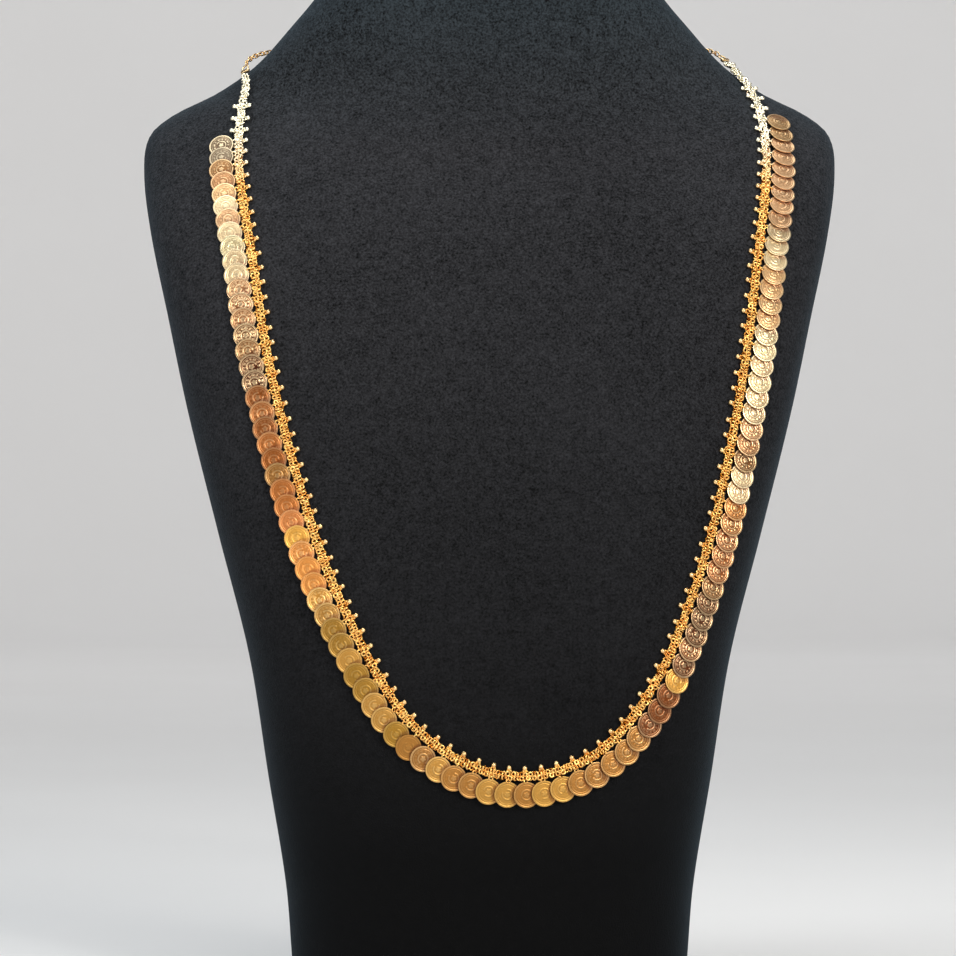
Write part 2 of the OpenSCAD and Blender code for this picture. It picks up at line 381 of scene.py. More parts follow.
VELVET, WIRE_GOLD, COIN_GOLD = velvet(), wire_gold(), coin_gold()
print("Finishes:", VELVET.name, WIRE_GOLD.name, COIN_GOLD.name)

# %% [markdown]
# ## The surface of the bust
# A display bust is a foam or plaster form under a stretched cover. Every level section of
# it is close to a superellipse, so a short table of sections says it all. The same table
# carries the necklace: every piece of it lies a set distance off this surface.

# %% Sections of the bust
# height, half width, centre, front depth, back depth, squareness
SECTIONS = np.array([
    [0, 79, -4, 55, 63, 2.6],
    [8, 81, -5, 58, 66, 2.6],
    [45, 84, -8, 62, 70, 2.6],
    [90, 91, -10, 66, 72, 3],
    [140, 99, -6, 68, 69, 3.4],
    [190, 112, 2, 66, 63, 3.8],
    [240, 125, 11, 62, 58, 4],
    [280, 134, 21, 60, 54, 4],
    [315, 142, 31, 55, 48, 3.5],
    [342, 146, 41, 49, 42, 2.6],
    [358, 144, 47, 45, 37, 2.1],
    [367, 134, 50, 42, 36, 2.1],
    [376, 116, 51, 40, 36, 2.1],
    [387, 100, 49, 40, 38, 2.1],
    [402, 86, 48, 43, 41, 2],
    [422, 70, 47, 46, 43, 2],
    [445, 61, 46, 47, 45, 2],
    [464, 57, 45, 47, 46, 2],
    [470, 54, 45, 44, 43, 2],
], float)
HEIGHTS, SHAPES = SECTIONS[:, 0], SECTIONS[:, 1:]
BUST_H = HEIGHTS[-1]
ROWS = np.arange(len(SECTIONS))
BEFORE, AFTER = np.maximum(ROWS - 1, 0), np.minimum(ROWS + 1, len(SECTIONS) - 1)
RATES = (SHAPES[AFTER] - SHAPES[BEFORE]) / (HEIGHTS[AFTER] - HEIGHTS[BEFORE])[:, None]


def section(z):
    """Half width, centre, front depth, back depth and squareness at each height, on a cubic through the
    rows of the table."""
    z = np.clip(z, 0, BUST_H)
    row = np.clip(np.searchsorted(HEIGHTS, z, side="right") - 1, 0, len(HEIGHTS) - 2)
    gap = (HEIGHTS[row + 1] - HEIGHTS[row])[..., None]
    t = (z - HEIGHTS[row])[..., None] / gap
    made = (
        (2 * t**3 - 3 * t**2 + 1) * SHAPES[row] + (t**3 - 2 * t**2 + t) * gap * RATES[row]
        + (3 * t**2 - 2 * t**3) * SHAPES[row + 1] + (t**3 - t**2) * gap * RATES[row + 1]
    )
    return np.moveaxis(made, -1, 0)


def reach(p):
    """1 on the surface: x over half width and y over depth, each to the power squareness, are summed, and
    the root of that power is taken."""
    half, centre, front, back, power = section(p[..., 2])
    y = p[..., 1] - centre
    depth = np.where(y < 0, front, back)
    return (np.abs(p[..., 0] / half) ** power + np.abs(y / depth) ** power) ** (1 / power)


PROBE = 0.2


def slope(p):
    """Rate of the reach along x, y and z, over a probe each way, which points straight out of the surface."""
    steps = np.eye(3) * PROBE
    return np.stack([reach(p + step) - reach(p - step) for step in steps], -1) / (2 * PROBE)


def unit(v):
    """Vectors at length 1."""
    return v / np.linalg.norm(v, axis=-1, keepdims=True)


def dot(a, b):
    """Products of rows of vectors, kept as a column."""
    return (a * b).sum(-1, keepdims=True)


def seat(p, turns=3):
    """Points moved straight onto the surface: a few steps along the slope, each as long as the reach's
    excess over 1 divided by the slope."""
    for _ in range(turns):
        g = slope(p)
        p = p - g * (reach(p)[..., None] - 1) / dot(g, g)
    return p


# %% [markdown]
# ## The bust's cover
# The cover is one closed skin of stretched velvet. It could be a loft with a subdivision
# surface, but rows of points worked out from the sections every three millimetres follow
# the same surface as the necklace does, so nothing sinks in. Both ends close in a flat
# disc. It is plain on purpose: a black stand shows gold best.

# %% The cover as one skin
BUST_SIDES = 168
BUST_STEP = 3.0
EDGE_ROUND = 1.2
# shares of an end's size: of the ring that rounds its edge, EDGE_HEIGHT off its plane, and of its flat rings
EDGE_SHARE, EDGE_HEIGHT = 0.985, 0.3
END_SHARES = [0.97, 0.93, 0.72, 0.4]


def signed_power(v, power):
    """The size of a value to a power, with the value's own sign."""
    return np.sign(v) * np.abs(v) ** power


def bust_rows(z):
    """Rings of points at heights z: cosine and sine of the angle, each to the power 2 over squareness."""
    half, centre, front, back, power = (v[:, None] for v in section(z))
    angle = (np.arange(BUST_SIDES) + 0.5) * 2 * np.pi / BUST_SIDES
    cos, sin = np.cos(angle), np.sin(angle)
    depth = np.where(sin < 0, front, back)
    x = half * signed_power(cos, 2 / power)
    y = centre + depth * signed_power(sin, 2 / power)
    return np.stack([x, y, np.repeat(z[:, None], BUST_SIDES, axis=1)], -1)


def shrunk(row, share):
    """A ring drawn in towards its own middle."""
    middle = row.mean(axis=0)
    return middle + (row - middle) * [share, share, 1]


def bust_form():
    """The skin: rings up the sections, two rounded edges, and a disc at each end closed by a fan."""
    z = np.linspace(EDGE_ROUND, BUST_H - EDGE_ROUND, int(BUST_H / BUST_STEP))
    foot, head = bust_rows(np.array([0.0, BUST_H]))
    below = [shrunk(foot, share) for share in END_SHARES[::-1]]
    below += [shrunk(foot, EDGE_SHARE) + [0, 0, EDGE_HEIGHT]]
    above = [shrunk(head, EDGE_SHARE) - [0, 0, EDGE_HEIGHT]]
    above += [shrunk(head, share) for share in END_SHARES]
    grid = np.concatenate([below, bust_rows(z), above])
    ends = np.stack([foot.mean(axis=0), head.mean(axis=0)])
    points = np.concatenate([grid.reshape(-1, 3), ends])
    return form(points, *capped_faces(len(grid), BUST_SIDES, upwards=True))


piece("bust_cover", bust_form(), VELVET, ["neck_bust"], "bust_cover")

# %% [markdown]
# ## The way the necklace hangs
# A heavy necklace settles into a long, slightly lopsided U on the chest, climbs over both
# shoulders and closes behind the neck. A short list of points says where. A
# smooth closed curve through them, pressed onto the bust, gives the place at any distance.

# %% Route of the necklace
# across, height, face: -1 in front, 0 on the crest of a shoulder, 1 behind
ROUTE = np.array([
    [0, 402, 1], [-30, 401, 1], [-58, 399, 1], [-82, 396, 1],
    [-96, 389, 0],
    [-101, 377, -1], [-104, 362, -1], [-104, 344, -1], [-101, 323, -1],
    [-97, 302, -1], [-90, 261, -1], [-80, 221, -1], [-68, 183, -1],
    [-56, 155, -1], [-42, 129, -1], [-30, 113, -1], [-14, 101, -1],
    [5, 94, -1], [25, 95, -1], [43, 103, -1], [57, 117, -1],
    [68, 134, -1], [76, 152, -1], [83, 171, -1], [89, 190, -1],
    [94, 210, -1], [102, 250, -1], [108, 290, -1], [111, 311, -1],
    [114, 332, -1], [115, 354, -1], [110, 375, -1],
    [97, 388, 0],
    [82, 396, 1], [58, 399, 1], [30, 401, 1],
], float)
ROUTE_STEPS = 8


def route_knots():
    """The route's points on the bust: y is where the section's superellipse has that x, in front or
    behind."""
    x, z, face = ROUTE.T
    half, centre, front, back, power = section(z)
    share = np.maximum(0, 1 - np.abs(x / half) ** power) ** (1 / power)
    y = centre + face * np.where(face < 0, front, back) * share
    return seat(np.stack([x, y, z], -1))


KNOTS = route_knots()


def curve(t):
    """Smooth closed curve through the knots, one knot at each whole number, seated on the surface. It is a
    cubic from knot to knot, whose rate at a knot is half the step from the knot before to the knot after."""
    i = np.floor(t).astype(int)
    f = (t - i)[..., None]
    a, b, c, d = (KNOTS[(i + k) % len(KNOTS)] for k in (-1, 0, 1, 2))
    p = 2 * b + (c - a) * f + (2 * a - 5 * b + 4 * c - d) * f**2 + (3 * b - a - 3 * c + d) * f**3
    return seat(p / 2, 2)


STEPS = np.arange(len(KNOTS) * ROUTE_STEPS + 1) / ROUTE_STEPS
SAMPLES = curve(STEPS)
ARC = np.concatenate([[0], np.cumsum(np.linalg.norm(np.diff(SAMPLES, axis=0), axis=1))])
LOOP = ARC[-1]
print(f"The loop is {LOOP:.1f} mm round")

# %% Units of the band
COINS, PITCH, END_UNITS, PLAIN = 98, 6.7, 3, 15.0
BAND_W, BAND_T, SEAT_GAP = 3.9, 1.5, 0.3
UNITS = COINS + 2 * END_UNITS
MID_SHIFT = 5.0
MIDDLE = ARC[np.argmin(SAMPLES[:, 2])] + MID_SHIFT


def unit_s(u):
    """Distance along the loop of a unit of the band, counted from the left end."""
    return MIDDLE + (np.asarray(u, float) - (UNITS - 1) / 2) * PITCH


BAND_START, BAND_END = unit_s(-0.5) - PLAIN, unit_s(UNITS - 0.5) + PLAIN
BAND_LIFT = SEAT_GAP + BAND_T / 2
print(f"The band runs from {BAND_START:.1f} to {BAND_END:.1f} mm")

# %% Places along the loop
LEFT_RISE, RIGHT_RISE, RIGHT_TURN = 3.0, 1.5, 33.0
END_SPAN, PAST_END = 32.0, 4.0
LEFT_MIDDLE, RIGHT_MIDDLE = BAND_START - PAST_END, BAND_END + PAST_END


def share_at(s, middle):
    """Share of an end's rise and turn: 1 at its middle, an S curve down to 0 from END_SPAN away."""
    t = np.maximum(0, 1 - np.abs(s - middle) / END_SPAN)
    return t * t * (3 - 2 * t)


def at(s):
    """Point at a distance along the loop. The band is stiff, so its two ends stand a little off the
    shoulders."""
    p = curve(np.interp(s % LOOP, ARC, STEPS))
    rise = LEFT_RISE * share_at(s, LEFT_MIDDLE) + RIGHT_RISE * share_at(s, RIGHT_MIDDLE)
    return p + rise[..., None] * unit(slope(p))


def place(s):
    """Axes and point at each distance: along the loop, into the loop, out of the bust.
    Near the right end the last two are turned to the front, about the first."""
    s = np.asarray(s, float)
    p = at(s)
    along, up = unit(at(s + 1) - at(s - 1)), unit(slope(p))
    out = unit(up - dot(up, along) * along)
    inward = np.cross(out, along)
    turn = np.radians(RIGHT_TURN * share_at(s, RIGHT_MIDDLE))[..., None]
    cos, sin = np.cos(turn), np.sin(turn)
    return np.stack([along, inward * cos - out * sin, out * cos + inward * sin], -2), p


def carried(one, s, lift, turns=None):
    """Copies of a form at distances s along the loop, lifted off the bust, each turned first by its own
    matrix."""
    axes, p = place(s)
    lifted = p + lift * axes[:, 2]
    return copies(one, axes if turns is None else np.swapaxes(turns, -1, -2) @ axes, lifted)


# %% [markdown]
# ## The band of linked rings
# The band is chain work: two rows of small round rings, leaning this way and that, with
# two more rows half a ring on below them, and smaller rings that stand upright between the
# rows and tie them together. Each ring is a wire of four or six sides bent round in eight
# to fourteen steps, 84 faces at most, because there are hundreds of rings. No two sit
# alike, as in handwork. Through the holes one sees down to the wires below, so each
# point also carries how high it lies off the bust: the lower a wire lies, the darker and
# redder its painted shade.

# %% Height off the bust
def height_off(points):
    """Height of points off the bust: what their reach is over 1, divided by the slope of the reach."""
    return (reach(points) - 1) / np.linalg.norm(slope(points), axis=-1)


def unshaded_share(points, shaded, unshaded):
    """0 up to the first height, where the wire is painted in full shade, and 1 from the second height."""
    return np.clip((height_off(points) - shaded) / (unshaded - shaded), 0, 1)


# painted light over the shoulders: the height where it starts, the span over which it grows, and its least
# share
PAINTED_LIGHT_FROM, PAINTED_LIGHT_SPAN, PAINTED_LIGHT_LEAST = 334.0, 26.0, 0.04


def painted_shoulder_light(points):
    """Painted light: the stretches over the shoulders, where light from above falls strongest, are painted
    palest; it grows from the least to 1 over a span of height.
    """
    return np.clip((points[:, 2] - PAINTED_LIGHT_FROM) / PAINTED_LIGHT_SPAN + PAINTED_LIGHT_LEAST, PAINTED_LIGHT_LEAST, 1)


def wire_piece(name, made, node, shaded, unshaded, painted_light=0.0):
    """A piece of yellow gold: its painted shade follows its height off the bust, and its painted light its
    place on the necklace, with the given extra light added to that."""
    # relief holds the painted shade by height off the bust, the other attribute the painted light by place
    shades = {"relief": unshaded_share(made[0], shaded, unshaded), "painted_light": np.clip(painted_shoulder_light(made[0]) + painted_light, 0, 1)}
    return piece(name, made, WIRE_GOLD, [node] if node else [], "band_gold", **shades)


# %% Rows of rings and the rings between them
RING_STEP = 2.4
RING_R, RING_WIRE = 0.83, 0.42
ROW_Y = 0.82
TOP_LIFT, LOW_LIFT = BAND_LIFT + 0.2, BAND_LIFT - 0.35
LEAN, LEAN_JITTER = 27.0, 14.0
STEP_JITTER, SIZE_JITTER = 0.14, 0.06
TIE_R, TIE_WIRE, TIE_YAW = 0.55, 0.3, 28.0
RNG = np.random.default_rng(7)


def ring_places(shift):
    """Distances of rings along the band, about a ring step apart, the first one moved on by a share of a
    step. A row that isn't moved on has a ring at both ends."""
    first, last = BAND_START + RING_R + RING_WIRE, BAND_END - RING_R - RING_WIRE
    count = round((last - first) / RING_STEP)
    return first + (np.arange(count + (shift == 0)) + shift) * (last - first) / count


def ring_rows(lift, shift, steps, sides):
    """Rings in two rows, the second row half a step on, leaning to and fro about the y axis, a little
    uneven."""
    ring = closed_wire(ring_path(RING_R, steps), RING_WIRE, sides)
    rows = []
    for side, own in ((-1, shift), (1, shift + 0.5)):
        s = ring_places(own)
        lean = LEAN * (-1.0) ** np.arange(len(s)) + RNG.normal(0, LEAN_JITTER, len(s))
        turns = turn_about("x", RNG.normal(0, LEAN_JITTER, len(s))) @ turn_about("y", lean)
        turns *= 1 + RNG.normal(0, SIZE_JITTER, (len(s), 1, 1))
        uneven = s + RNG.normal(0, STEP_JITTER, len(s))
        rows.append(carried(moved(ring, by=(0, side * ROW_Y, 0)), uneven, lift, turns))
    return joined(*rows)


def tie_rings():
    """Smaller rings along the middle, each stood on edge across the band and turned to and fro about the
    z axis."""
    ring = moved(closed_wire(ring_path(TIE_R, 10), TIE_WIRE, 4), turn_about("y", 90))
    s = ring_places(0.25)
    yaw = TIE_YAW * (-1.0) ** np.arange(len(s)) + RNG.normal(0, LEAN_JITTER, len(s))
    return carried(ring, s, BAND_LIFT, turn_about("z", yaw))


BAND = joined(ring_rows(TOP_LIFT, 0.0, 14, 6), ring_rows(LOW_LIFT, 0.5, 8, 4), tie_rings())
wire_piece("linked_ring_band", BAND, "ring_band", 0.6, 1.4)

# %% [markdown]
# ## The granules
# A granule is a drop of gold melted into a ball, held out on two legs of wire. The ball
# is a half circle turned on the lathe. The legs are tapered wires that start apart on the
# edge of the band and come together in the ball, with a drop of solder between their
# feet. There are 110 granules, each a few pixels wide, so they are copies of a form with
# few sides, and differ in how they lean.

# %% Granule beads on their legs
BEAD_R, BEAD_REACH = 1.1, 1.35
LEG_FOOT, LEG_HEAD, LEG_SUNK = 0.85, 0.35, 0.3
LEG_WIRE = 0.42
FOOT_WIRE = LEG_WIRE * 1.15
SOLDER_R, SOLDER_OFF, SOLDER_DROP = 0.62, 0.4, 0.2
# share of painted highlight on the balls
BALL_PAINTED_HIGHLIGHT = 0.2
YAW_JITTER, NOD_JITTER = 3.0, 4.0


def ball(radius, rows, around):
    """A half circle turned round the axis."""
    tilt = np.linspace(0, np.pi, rows)
    return lathe(radius * np.stack([np.sin(tilt), np.cos(tilt)], -1), around)


def granule(side):
    """One ball, its two legs and the solder between them; side is 1 on the inner edge and -1 on the outer.
    Comes with the painted light of its points: the balls carry a painted highlight that the legs lack."""
    edge = BAND_W / 2
    round_ball = moved(ball(BEAD_R, 9, 12), by=(0, side * (edge + BEAD_REACH), 0))
    legs = [
        open_wire(
            (way * LEG_FOOT, side * (edge - LEG_SUNK), 0),
            (way * LEG_HEAD, side * (edge + BEAD_REACH - LEG_SUNK), 0),
            FOOT_WIRE, LEG_WIRE, 6,
        )
        for way in (-1, 1)
    ]
    solder = moved(ball(SOLDER_R, 6, 8), by=(0, side * (edge + SOLDER_OFF), -SOLDER_DROP))
    made = joined(round_ball, solder, *legs)
    return made, np.where(np.arange(len(made[0])) < len(round_ball[0]), BALL_PAINTED_HIGHLIGHT, 0.0)


def granule_run(first, last, side):
    """Granules on the units from first to last, each leaning a little, and the painted light of their points.
    """
    u = np.arange(first, last + 1)
    yaws = turn_about("z", RNG.normal(0, YAW_JITTER, len(u)))
    turns = yaws @ turn_about("x", RNG.normal(0, NOD_JITTER, len(u)))
    made, painted_light = granule(side)
    return carried(made, unit_s(u), BAND_LIFT, turns), np.tile(painted_light, len(u))


ENDS = granule_run(0, END_UNITS - 1, -1), granule_run(UNITS - END_UNITS, UNITS - 1, -1)
OUTER = joined(ENDS[0][0], ENDS[1][0]), np.concatenate([ENDS[0][1], ENDS[1][1]])
for name, (made, painted_light), node in (
    ("granules_left", granule_run(0, UNITS // 2 - 1, 1), "inner_beads_left"),
    ("granules_right", granule_run(UNITS // 2, UNITS - 1, 1), "inner_beads_right"),
    ("granules_at_the_ends", OUTER, "outer_beads"),
):
    wire_piece(name, made, node, 0.3, 1.1, painted_light)

# %% [markdown]
# ## The coins
# Each coin is struck from thin sheet between two dies: a raised rim, a fine ring, a border
# of raised strokes, an open inner ring and a flower. The design is a traditional one, with
# no lettering and no head. The face is a height worked out from the distance to the middle
# and the angle round it. A bump in the finish would look flat at a slant, so the relief is
# in the mesh, and its circles lie where the relief has its edges. Worn coins keep little of
# it: their strokes go first and their rims last.

# %% Relief of a coin
COIN_R, FLAN, RELIEF, CROWN = 5.2, 0.4, 0.18, 0.14
COIN_SIDES, STROKES, LEAVES = 68, 12, 5
STROKE_WIDTH, STROKE_UNEVEN, LEAF_LENGTH = 0.31, 0.1, 0.03
# share of their height that the design and the rim keep on the most worn coin
DESIGN_KEPT, RIM_KEPT = 0.35, 0.65
# where each part of the design starts and ends, as shares of the coin's radius
FLOWER_EDGE, INNER_RING, STROKE_BORDER = (0.17, 0.23), (0.31, 0.46), (0.48, 0.69)
FINE_RING, RIM_SIDE = (0.715, 0.795), (0.845, 0.87)
COIN_SHARES = np.array([
    0.07, 0.13, 0.18, 0.22, 0.27, 0.31, 0.335, 0.385, 0.435, 0.46, 0.49, 0.515,
    0.59, 0.665, 0.69, 0.715, 0.735, 0.775, 0.795, 0.845, 0.87, 0.92, 0.96, 0.99,
])


def ramp(x, start, end):
    """0 before start, 1 after end, and an S curve between."""
    t = np.clip((x - start) / (end - start), 0, 1)
    return t * t * (3 - 2 * t)


def between(x, start, end, side=0.025):
    """1 between start and end, falling to 0 over side."""
    return ramp(x, start, start + side) * (1 - ramp(x, end - side, end))


def coin_relief(share, angle, crisp, shift):
    """Relief from 0, the field, to 1: the highest of rim, fine ring, strokes, open inner ring and flower.
    The shift makes the strokes of each coin wide and narrow in other places."""
    number = np.floor(angle * STROKES / (2 * np.pi))
    off = np.abs(angle * STROKES / (2 * np.pi) - number - 0.5)
    width = STROKE_WIDTH + STROKE_UNEVEN * np.sin(2.4 * number + shift)
    strokes = between(share, *STROKE_BORDER) * (1 - ramp(off, width - 0.08, width + 0.08)) * crisp
    open_side = ramp(np.abs(np.sin(angle / 2)), 0.2, 0.32)
    inner_ring = between(share, *INNER_RING) * open_side
    flower = 1 - ramp(share - LEAF_LENGTH * np.cos(LEAVES * angle), *FLOWER_EDGE)
    fine_ring = between(share, *FINE_RING, 0.02) * 0.8
    design = np.max(np.broadcast_arrays(strokes, inner_ring, flower, fine_ring), axis=0)
    design = design * (DESIGN_KEPT + (1 - DESIGN_KEPT) * crisp)
    return np.maximum(design, ramp(share, *RIM_SIDE) * (RIM_KEPT + (1 - RIM_KEPT) * crisp))


# %% Discs with that relief
# distance from the middle, height and relief, from the top of the edge round to the back
EDGE = np.array([[1.0, FLAN + RELIEF - 0.07, 0.9], [1.0, 0.06, 0.3], [0.97, 0.0, 0.3]])
BACK_RELIEF = 0.2


def struck_discs(crisp):
    """A disc for each crispness: its points, its faces, and the relief at each of its points. Its circles go
    from the middle of the face outwards, round the edge and in to the back."""
    count = len(crisp)
    share, angle = COIN_SHARES[:, None], np.arange(COIN_SIDES) * 2 * np.pi / COIN_SIDES
    relief = coin_relief(share, angle, crisp[:, None, None], np.arange(count)[:, None, None])
    height = FLAN + RELIEF * relief + CROWN * (1 - share**2)
    face = np.stack([np.broadcast_to(share, height.shape), height, relief], -1)
    edge = np.broadcast_to(EDGE[:, None, :], (count, len(EDGE), COIN_SIDES, 3))
    rows = np.concatenate([face, edge], axis=1)
    out = COIN_R * rows[..., 0]
    points = np.stack([out * np.cos(angle), out * np.sin(angle), rows[..., 1]], -1).reshape(count, -1, 3)
    middle = relief[:, 0, 0]
    ends = np.zeros((count, 2, 3))
    ends[:, 0, 2] = FLAN + RELIEF * middle + CROWN
    reliefs = np.column_stack([rows[..., 2].reshape(count, -1), middle, np.full(count, BACK_RELIEF)])
    return (np.concatenate([points, ends], axis=1), *capped_faces(rows.shape[1], COIN_SIDES)), reliefs


# %% [markdown]
# ## Hanging the coins
# Each coin hangs from its own small loop and lies over the coin before it, so it is
# tilted. On the upright stretches it also swings downwards, under its own weight. The
# real coins differ: some are cream, some are brown or coppery, some lean to olive.
# A short list of tones along the necklace gives each coin its own, with painted light
# and shade of its place mixed in. Where the next coin's edge lies over it, a coin is
# darker and pinker: a painted shadow of that edge.

# %% Places of the coins
COIN_GAP, COIN_SAG = 0.38, 14.0
COIN_T = FLAN + RELIEF
COIN_TILT = math.degrees(math.asin((COIN_T + COIN_GAP) / PITCH))
COIN_LIFT = SEAT_GAP + COIN_R * math.sin(math.radians(COIN_TILT))
COIN_OFF = 0.25
COIN_REACH = COIN_OFF + COIN_R
UNEVEN_SWING, UNEVEN_REACH = 1.2, 0.12
# turns in degrees from one coin to the next, so that the unevenness doesn't repeat
SWING_TURN, REACH_TURN = 137, 222
print(f"A coin tilts by {COIN_TILT:.1f} degrees")


def coin_places(i):
    """Axes and places of coins: each swings about the edge of the band by the sag, level with the band."""
    axes, p = place(unit_s(i + END_UNITS))
    along, inward, out = axes[:, 0], axes[:, 1], axes[:, 2]
    swing = np.radians(-COIN_SAG * along[:, 2] + UNEVEN_SWING * np.sin(np.radians(SWING_TURN * i)))[:, None]
    away = along * np.sin(swing) - inward * np.cos(swing)
    far = COIN_REACH + UNEVEN_REACH * (1 + np.sin(np.radians(REACH_TURN * i)))
    p = p - BAND_W / 2 * inward + far[:, None] * away
    return np.stack([np.cross(-away, out), -away, out], -2), p


# %% Tones of the coins
# each tone is the coin's own colour with painted light and shade of its place on the necklace mixed in
TONES = {
    "cream": (0.99, 0.83, 0.53),
    "sand": (0.93, 0.62, 0.32),
    "ash": (0.28, 0.23, 0.165),
    "mauve": (0.84, 0.53, 0.29),
    "taupe": (0.58, 0.36, 0.16),
    "rose": (0.66, 0.35, 0.16),
    "dun": (0.42, 0.215, 0.075),
    "salmon": (0.65, 0.25, 0.075),
    "straw": (0.8, 0.44, 0.083),
    "apricot": (0.8, 0.34, 0.08),
    "yellow": (0.5, 0.275, 0.057),
    "olive": (0.355, 0.195, 0.024),
    "tan": (0.39, 0.183, 0.037),
    "copper": (0.46, 0.157, 0.032),
    "chestnut": (0.33, 0.1, 0.014),
    "umber": (0.21, 0.055, 0.006),
}
# tone and number of coins in a row, from the left end
TONE_RUNS = [
    ("ash", 2), ("dun", 1), ("rose", 1), ("sand", 1), ("cream", 1), ("mauve", 1), ("cream", 4), ("mauve", 2),
    ("rose", 1), ("dun", 2), ("umber", 2), ("chestnut", 1), ("copper", 1), ("chestnut", 1), ("copper", 1),
    ("chestnut", 1), ("tan", 1), ("copper", 2), ("salmon", 1), ("straw", 1), ("apricot", 3), ("straw", 1),
    ("yellow", 1), ("olive", 2), ("yellow", 1), ("olive", 2), ("yellow", 2), ("olive", 1), ("tan", 2),
    ("yellow", 1), ("tan", 2), ("yellow", 2), ("tan", 1), ("yellow", 2), ("tan", 5), ("umber", 3),
    ("straw", 1), ("umber", 1), ("copper", 1), ("umber", 3), ("dun", 1), ("salmon", 3), ("apricot", 2),
    ("cream", 2), ("dun", 1), ("rose", 1), ("mauve", 1), ("cream", 6), ("sand", 4), ("cream", 3),
    ("mauve", 7), ("taupe", 2),
]
# coin number from the left end, crispness of its strike
CRISP_ALONG = [
    (0, 0.75), (3, 0.4), (10, 0.5), (12, 0.8), (17, 0.8), (19, 0.4), (30, 0.3), (31, 0.6), (33, 0.2),
    (54, 0.2), (56, 0.5), (58, 0.35), (60, 0.7), (65, 0.8), (70, 0.7), (72, 0.45), (73, 0.8), (77, 0.6),
    (83, 0.6), (85, 0.4), (97, 0.4),
]
TONE_JITTER, CRISP_JITTER = 0.05, 0.08
assert sum(run for _, run in TONE_RUNS) == COINS


def coin_tones(i):
    """Colour of each coin, lightened or darkened a little at random, and the crispness of its strike."""
    listed = np.array([TONES[name] for name, run in TONE_RUNS for _ in range(run)])
    tone = np.clip(listed[i] * (1 + RNG.normal(0, TONE_JITTER, (len(i), 1))), 0, 1)
    number, crisp = np.array(CRISP_ALONG).T
    return tone, np.clip(np.interp(i, number, crisp) + RNG.normal(0, CRISP_JITTER, len(i)), 0, 1)


# %% Coins at their places
WOBBLE, WOBBLE_MOST = 0.7, 1.2
# share of red, green and blue that the painted shadow of the next coin's edge takes off, its width on a worn
# coin and what a crisp one adds
PAINTED_SHADOW_DARK = np.array([0.34, 0.44, 0.4])
PAINTED_SHADOW_W, PAINTED_SHADOW_CRISP = 0.4, 2.4


def painted_coin_shadow(points, turned, width):
    """Painted shadow of the next coin, which lies over this one a pitch further on: 1 at its edge, and 0 from
    a width off it.
    The points are a disc's, and turned is each coin's own turn in its plane, in degrees."""
    cos, sin = np.cos(np.radians(turned))[:, None], np.sin(np.radians(turned))[:, None]
    x, y = points[..., 0] * cos - points[..., 1] * sin, points[..., 0] * sin + points[..., 1] * cos
    return 1 - ramp(np.hypot(x - PITCH, y), COIN_R, COIN_R + width[:, None])


def coin_run(first, last):
    """Coins at their places, each turned at random in its own plane, with every point's tone, relief and
    crispness."""
    i = np.arange(first, last + 1)
    axes, p = coin_places(i)
    wobble = np.clip(RNG.normal(0, WOBBLE, (2, len(i))), -WOBBLE_MOST, WOBBLE_MOST)
    spin = RNG.uniform(0, 360, len(i))
    turns = turn_about("y", COIN_TILT + wobble[0]) @ turn_about("x", wobble[1]) @ turn_about("z", spin)
    tones, crisp = coin_tones(i)
    disc, relief = struck_discs(crisp)
    discs = copies(disc, np.swapaxes(turns, -1, -2) @ axes, p + COIN_LIFT * axes[:, 2])
    # painted shadow along the next coin's edge, darker and pinker
    painted_shadow = painted_coin_shadow(disc[0], spin, PAINTED_SHADOW_W + PAINTED_SHADOW_CRISP * crisp)[..., None] * PAINTED_SHADOW_DARK
    tone = np.ones((len(i), relief.shape[1], 4))
    tone[..., :3] = tones[:, None, :] * (1 - painted_shadow)
    return discs, tone.reshape(-1, 4), relief.ravel(), np.repeat(crisp, relief.shape[1])


for side, first in (("left", 0), ("right", COINS // 2)):
    made, tone, relief, crisp = coin_run(first, first + COINS // 2 - 1)
    piece(f"struck_coins_{side}", made, COIN_GOLD, [f"coins_{side}"], "coin_gold",
          tone=tone, relief=relief, crisp=crisp)

# %% Loops that hold the coins
JUMP_R, JUMP_WIRE, JUMP_OUT = 0.84, 0.36, 0.3
JUMP_ROLL, JUMP_JITTER = 45.0, 18.0


def coin_loops():
    """A ring at each coin, through the coin's edge and the band's, rolled about the line from one to the
    other."""
    i = np.arange(COINS)
    axes, p = coin_places(i)
    ring = closed_wire(ring_path(JUMP_R, 12), JUMP_WIRE, 6)
    turns = turn_about("z", RNG.normal(0, JUMP_JITTER, COINS))
    turns = turns @ turn_about("y", JUMP_ROLL + RNG.normal(0, JUMP_JITTER, COINS))
    centre = p + (COIN_LIFT + FLAN / 2) * axes[:, 2] + (COIN_R + JUMP_OUT) * axes[:, 1]
    return copies(ring, np.swapaxes(turns, -1, -2) @ axes, centre)


wire_piece("coin_loops", coin_loops(), None, 0.4, 1.4)

# %% [markdown]
# ## The end caps
# Where the band ends, a small plate gathers its two rows, and a wide ring on it takes the
# chain. The plate could be a box with a bevel. It is a pillow instead, whose edges are all
# rounded by one formula, the superellipsoid.

# %% Plates with a ring
CAP_L, CAP_W, CAP_T, CAP_LIFT = 1.6, 4.0, 1.5, 1.2
PIECE_GAP = 0.15
LOOP_R, LOOP_WIRE = 1.5, 0.36
LOOP_OUT = LOOP_R - LOOP_WIRE / 2
# how much less painted light than the band over the shoulders the plates get, and the chain and clasp
PLATE_YELLOW, PLAIN_YELLOW = 0.6, 0.7
CAP_REACH = CAP_L + LOOP_OUT + LOOP_R + LOOP_WIRE


